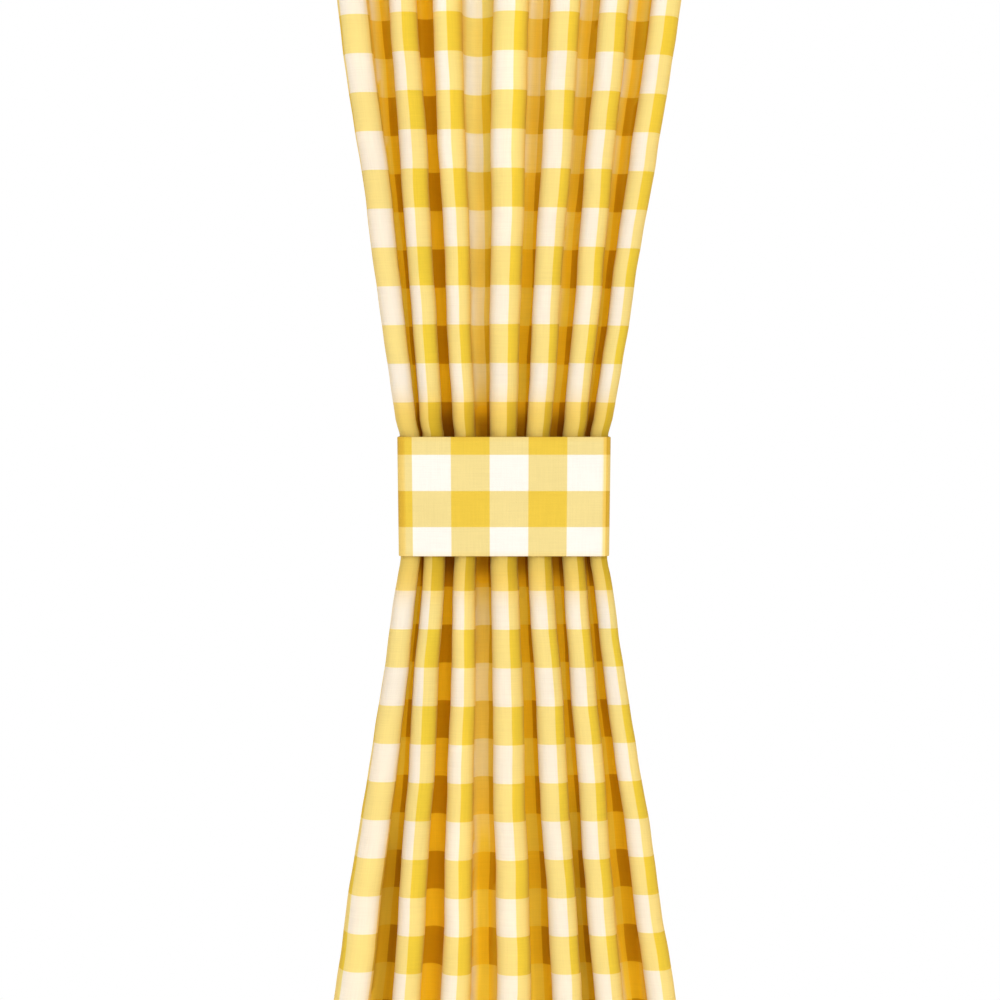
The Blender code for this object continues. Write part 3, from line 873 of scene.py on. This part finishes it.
def makePocket(name, node, up, seamAlong):
    look = pocketLook
    stations = stationsFor(look["columnsPerSide"])
    across = clothAcross(stations)
    x, y = section(up * seamUp, stations)
    angle = np.arctan2(np.gradient(y), np.gradient(x))
    tall = look["pocket"] + look["header"]
    rises = np.concatenate([np.linspace(-look["seamUnder"], look["pocket"], look["wallRows"] + 1)[:-1],
                            np.linspace(look["pocket"], tall - look["plyHalf"], look["headerRows"])])
    frontRows = len(rises)
    swell = np.sqrt(1.0 - np.minimum(1.0, np.abs(2.0 * rises / look["pocket"] - 1.0)) ** 3)
    half = mix(look["plyHalf"], look["openHalf"], swell)
    share = mix(1.0, look["fullness"], swell)
    share *= 1.0 + look["flare"] * smooth((rises - look["pocket"]) / look["header"])
    bend = np.linspace(0.0, pi, look["endSteps"] + 2)[1:-1]
    rises = np.concatenate([rises, tall - look["plyHalf"] * (1.0 - np.sin(bend)), rises[::-1]])
    half = np.concatenate([half, look["plyHalf"] * np.cos(bend), -half[::-1]])
    lean = np.concatenate([1.0 - swell, np.ones(look["endSteps"]), 1.0 - swell[::-1]])
    share = np.concatenate([share, np.full(look["endSteps"], share[-1]), share[::-1]])

    ruffle = look["ruffle"] * smooth((rises - look["pocket"]) / look["header"])[:, None]
    aside, back = [ruffle * wander(across, length, 1, seed + up)[0]
                   for length, seed in zip(look["ruffleLengths"], (23, 31))]
    turned = angle[None, :] * lean[:, None]
    middle = np.stack([
        x + half[:, None] * np.sin(turned) + aside,
        y * share[:, None] - half[:, None] * np.cos(turned) + back,
        np.broadcast_to(tieZ + up * (seamUp + rises[:, None]), (len(rises), len(x)))], axis=2)
    run = np.concatenate([[0.0], np.cumsum(np.hypot(np.diff(rises), np.diff(half)))])
    run -= run[np.argmin(np.abs(rises[:frontRows]))]
    toStitch = np.minimum(np.abs(rises), np.abs(rises - look["pocket"]))
    near = np.exp(-toStitch / look["puckerReach"])
    if up < 0:
        middle, run, near, rises = middle[::-1], -run[::-1], near[::-1], rises[::-1]
    pucker = look["pucker"] * wander(across, look["puckerPitch"], 1, 40 + up)[0]
    middle = middle + gridNormals(middle) * (near[:, None] * pucker)[..., None]
    cloth = np.stack(np.broadcast_arrays(across[None, :], (seamAlong + run)[:, None]), axis=2)
    # painted shade in the gathers' hollows, as in the pleats
    shades = []
    for side in (-1.0, 1.0):
        reached = [foldShade(line[:, 0], side * line[:, 1], across, seamUp) for line in middle]
        shades.append(look["shaded"] * np.array(reached))
    frontSide = np.arange(len(rises)) < len(rises) / 2
    if up < 0:
        frontSide = ~frontSide
    outerShade = np.where(frontSide[:, None], shades[1], shades[0])
    outer = np.full(middle.shape[:2], panelLook["thickness"] / 2)
    pocket = clothSheet(name, middle, outer, hemThickness(across, outer.shape), cloth,
                        {"foldShade": (outerShade, outerShade), "drawnIn": (near[:, None], near[:, None])},
                        panelCloth)
    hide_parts(node)

    normals = gridNormals(middle)
    runs = []
    for level in (look["stitchRise"], look["pocket"]):
        for side in (True, False):
            row = min(np.flatnonzero(frontSide == side), key=lambda r: abs(rises[r] - level))
            runs.append((middle[row] + normals[row] * panelLook["thickness"] / 2, normals[row]))
    print("stage:", name, "of", len(pocket.data.polygons), "faces")
    sewStitches(name + "Stitches", runs)


makePocket("rodPocketTop", "rod_pocket_top", 1, topSeam)
makePocket("rodPocketBottom", "rod_pocket_bottom", -1, lowSeam)


# the band's middle line seen from above, from the lap's under end at the back round to its free end
def bandOutline(deep, wide):
    look = bandLook
    corner = look["corner"]
    runX, runY = wide / 2 - corner, deep / 2 - corner
    lapX = look["lap"] / 2
    points = []

    def straight(start, end):
        count = max(2, round(abs(end[0] - start[0] + end[1] - start[1]) / look["aroundStep"]))
        for share in np.arange(count) / count:
            points.append((mix(start[0], end[0], share), mix(start[1], end[1], share)))

    def turnCorner(x, y, start):
        for share in np.arange(look["cornerSteps"]) / look["cornerSteps"]:
            turn = start + pi / 2 * share
            points.append((x + corner * cos(turn), y + corner * sin(turn)))

    straight((lapX, runY + corner), (-runX, runY + corner))
    turnCorner(-runX, runY, pi / 2)
    straight((-runX - corner, runY), (-runX - corner, -runY))
    turnCorner(-runX, -runY, pi)
    straight((-runX, -runY - corner), (runX, -runY - corner))
    turnCorner(runX, -runY, 3 * pi / 2)
    straight((runX + corner, -runY), (runX + corner, runY))
    turnCorner(runX, runY, 0.0)
    straight((runX, runY + corner), (-lapX, runY + corner))
    points.append((-lapX, runY + corner))
    return np.array(points)


def makeBand():
    look = bandLook
    tall = bandHigh.z - bandLow.z
    wide = bandHigh.x - bandLow.x
    outline = bandOutline(bandHigh.y - bandLow.y - look["thickness"], wide - look["thickness"])
    run = np.concatenate([[0.0], np.cumsum(np.linalg.norm(np.diff(outline, axis=0), axis=1))])
    front = outline[:, 1] < 0
    arc = run - run[front][np.argmin(np.abs(outline[front, 0]))]
    lift = look["lapLift"] * smooth((run - run[-1] + look["lap"] + look["lapRamp"]) / look["lapRamp"])
    edges = look["edgeRound"] * (1.0 - np.cos(np.linspace(0, pi / 2, look["edgeSteps"])))
    inside = np.linspace(edges[-1], tall - edges[-1], look["faceRows"])
    heights = np.concatenate([edges[:-1], inside, (tall - edges[:-1])[::-1]]) - tall / 2
    fromEdge = np.minimum(1.0, (tall / 2 - np.abs(heights)) / look["edgeRound"])
    halves = look["thickness"] / 2 * mix(look["edgeThin"], 1.0, np.sqrt(1.0 - (1.0 - fromEdge) ** 2))
    bandY = (bandLow.y + bandHigh.y) / 2
    middle = []
    for above in heights:
        narrower = 1.0 - look["taper"] * (0.5 - above / tall) / wide
        waver = look["waver"] * wander(arc + 0.15 * above, look["waverLength"], 1, 51)[0]
        waver *= 0.4 - above / tall    # most at the foot
        middle.append(np.stack([outline[:, 0] * narrower, outline[:, 1] + bandY + lift + waver,
                                np.full(len(outline), tieZ + above)], axis=1))
    middle = np.array(middle)
    cloth = np.stack(np.broadcast_arrays(arc[None, :], heights[:, None]), axis=2)
    half = np.broadcast_to(halves[:, None], middle.shape[:2])
    toEdge = tall / 2 - np.abs(heights)[:, None]
    toSide = wide / 2 - np.abs(outline[:, 0])[None, :]
    fromCrease = (wide / 2 - outline[:, 0] - look["creaseIn"])[None, :]
    pucker = look["edgePucker"] * (1.0 - smooth(toEdge / look["puckerReach"]))
    # painted shade along the band's top, foot and sides, and a painted dark line at the right side's crease
    atEdge = look["hemShadeShare"] * (1.0 - smooth(toEdge / look["hemShade"]))
    atSide = look["sideShadeShare"] * (1.0 - smooth((toSide - look["sideShade"]) / look["sideFade"]))
    pressed = np.maximum(atEdge, atSide)
    pressed = pressed + look["creaseShadeShare"] * np.exp(-(fromCrease / look["creaseWide"]) ** 2)
    band = clothSheet("tieBand", middle, half, half, cloth,
                      {"foldShade": (pressed, pressed), "drawnIn": (pucker, pucker)}, bandCloth)
    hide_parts("tie_band")

    normals = gridNormals(middle)
    runs = []
    kept = slice(look["edgeSteps"], -look["edgeSteps"])
    for inset in look["lapStitches"]:
        column = np.argmin(np.abs(run - run[-1] + inset))
        normal = normals[kept, column]
        runs.append((middle[kept, column] + normal * look["thickness"] / 2, normal))
    sewStitches("bandStitches", runs)
    print("stage: band,", round(run[-1] / mm), "mm of cloth,", len(band.data.polygons), "faces")


makeBand()


studio = {
    "cameraDistance": 1.700,     # from the pleats' crowns
    "crownY": -0.0210,
    "cameraSide": -0.0026,
    "cameraDrop": 0.065,         # how far the camera stands above the middle of the picture
    "pictureTall": 0.6521,       # what the picture takes in at the crowns
    "aimBelowTie": 0.0022,
    "floorDrop": 0.050,
    "floorSide": 4.4,
    "floorColour": (0.86, 0.86, 0.85),
    "floorRough": 0.7,
    "backdrop": (1.0, 1.0, 1.0),
    "ambient": 0.72,
    "ambientColour": (1.0, 0.985, 0.96),
}

# each soft light faces the tie, and its place is counted from there
lamps = (
    {"name": "key", "place": (0.42, -2.35, 0.35), "size": (1.2, 1.7), "power": 23.5,
     "colour": (1.0, 0.985, 0.965)},
    {"name": "side", "place": (1.60, -1.80, 0.20), "size": (1.0, 2.0), "power": 8.0,
     "colour": (1.0, 0.98, 0.95)},
    {"name": "fill", "place": (-1.60, -1.30, 0.20), "size": (1.0, 2.0), "power": 10.0,
     "colour": (1.0, 0.97, 0.93)},
    {"name": "behind", "place": (-0.40, 2.30, 0.40), "size": (1.6, 2.2), "power": 38.0,
     "colour": (1.0, 0.985, 0.965)},
)


def makeFloor():
    level = cadLow.z - studio["floorDrop"]
    bpy.ops.mesh.primitive_plane_add(size=studio["floorSide"], location=(0, 0, level))
    floor = bpy.context.object
    floor.name = "floor"
    made = bpy.data.materials.new("paleFloor")
    made.use_nodes = True
    shader = made.node_tree.nodes["Principled BSDF"]
    shader.inputs["Base Color"].default_value = opaque(studio["floorColour"])
    shader.inputs["Roughness"].default_value = studio["floorRough"]
    floor.data.materials.append(made)


def makeLamp(lamp):
    data = bpy.data.lights.new(lamp["name"], "AREA")
    data.shape = "RECTANGLE"
    data.size, data.size_y = lamp["size"]
    data.energy = lamp["power"]
    data.color = lamp["colour"]
    made = bpy.data.objects.new(lamp["name"], data)
    place = Vector(lamp["place"]) + Vector((0, 0, tieZ))
    made.location = place
    made.rotation_euler = (Vector((0, 0, tieZ)) - place).to_track_quat("-Z", "Y").to_euler()
    bpy.context.scene.collection.objects.link(made)


# plain white to the camera, and softer than that to the cloth
def makeWorld():
    world = bpy.data.worlds.new("studio")
    world.use_nodes = True
    tree = world.node_tree
    tree.nodes.clear()
    shades = []
    for colour, strength in ((studio["ambientColour"], studio["ambient"]), (studio["backdrop"], 1.0)):
        node = tree.nodes.new("ShaderNodeBackground")
        node.inputs["Color"].default_value = opaque(colour)
        node.inputs["Strength"].default_value = strength
        shades.append(node.outputs[0])
    blend = tree.nodes.new("ShaderNodeMixShader")
    tree.links.new(tree.nodes.new("ShaderNodeLightPath").outputs["Is Camera Ray"], blend.inputs[0])
    tree.links.new(shades[0], blend.inputs[1])
    tree.links.new(shades[1], blend.inputs[2])
    tree.links.new(blend.outputs[0], tree.nodes.new("ShaderNodeOutputWorld").inputs[0])
    bpy.context.scene.world = world


def makeCamera():
    data = bpy.data.cameras.new("camera")
    data.lens = data.sensor_width * studio["cameraDistance"] / studio["pictureTall"]
    camera = bpy.data.objects.new("camera", data)
    aim = Vector((studio["cameraSide"], studio["crownY"], tieZ - studio["aimBelowTie"]))
    camera.location = aim + Vector((0.0, -studio["cameraDistance"], studio["cameraDrop"]))
    camera.rotation_euler = (aim - camera.location).to_track_quat("-Z", "Y").to_euler()
    bpy.context.scene.collection.objects.link(camera)
    bpy.context.scene.camera = camera


makeFloor()
makeWorld()
for lamp in lamps:
    makeLamp(lamp)
makeCamera()
bpy.context.scene.view_settings.view_transform = "Standard"
print("stage: studio set")
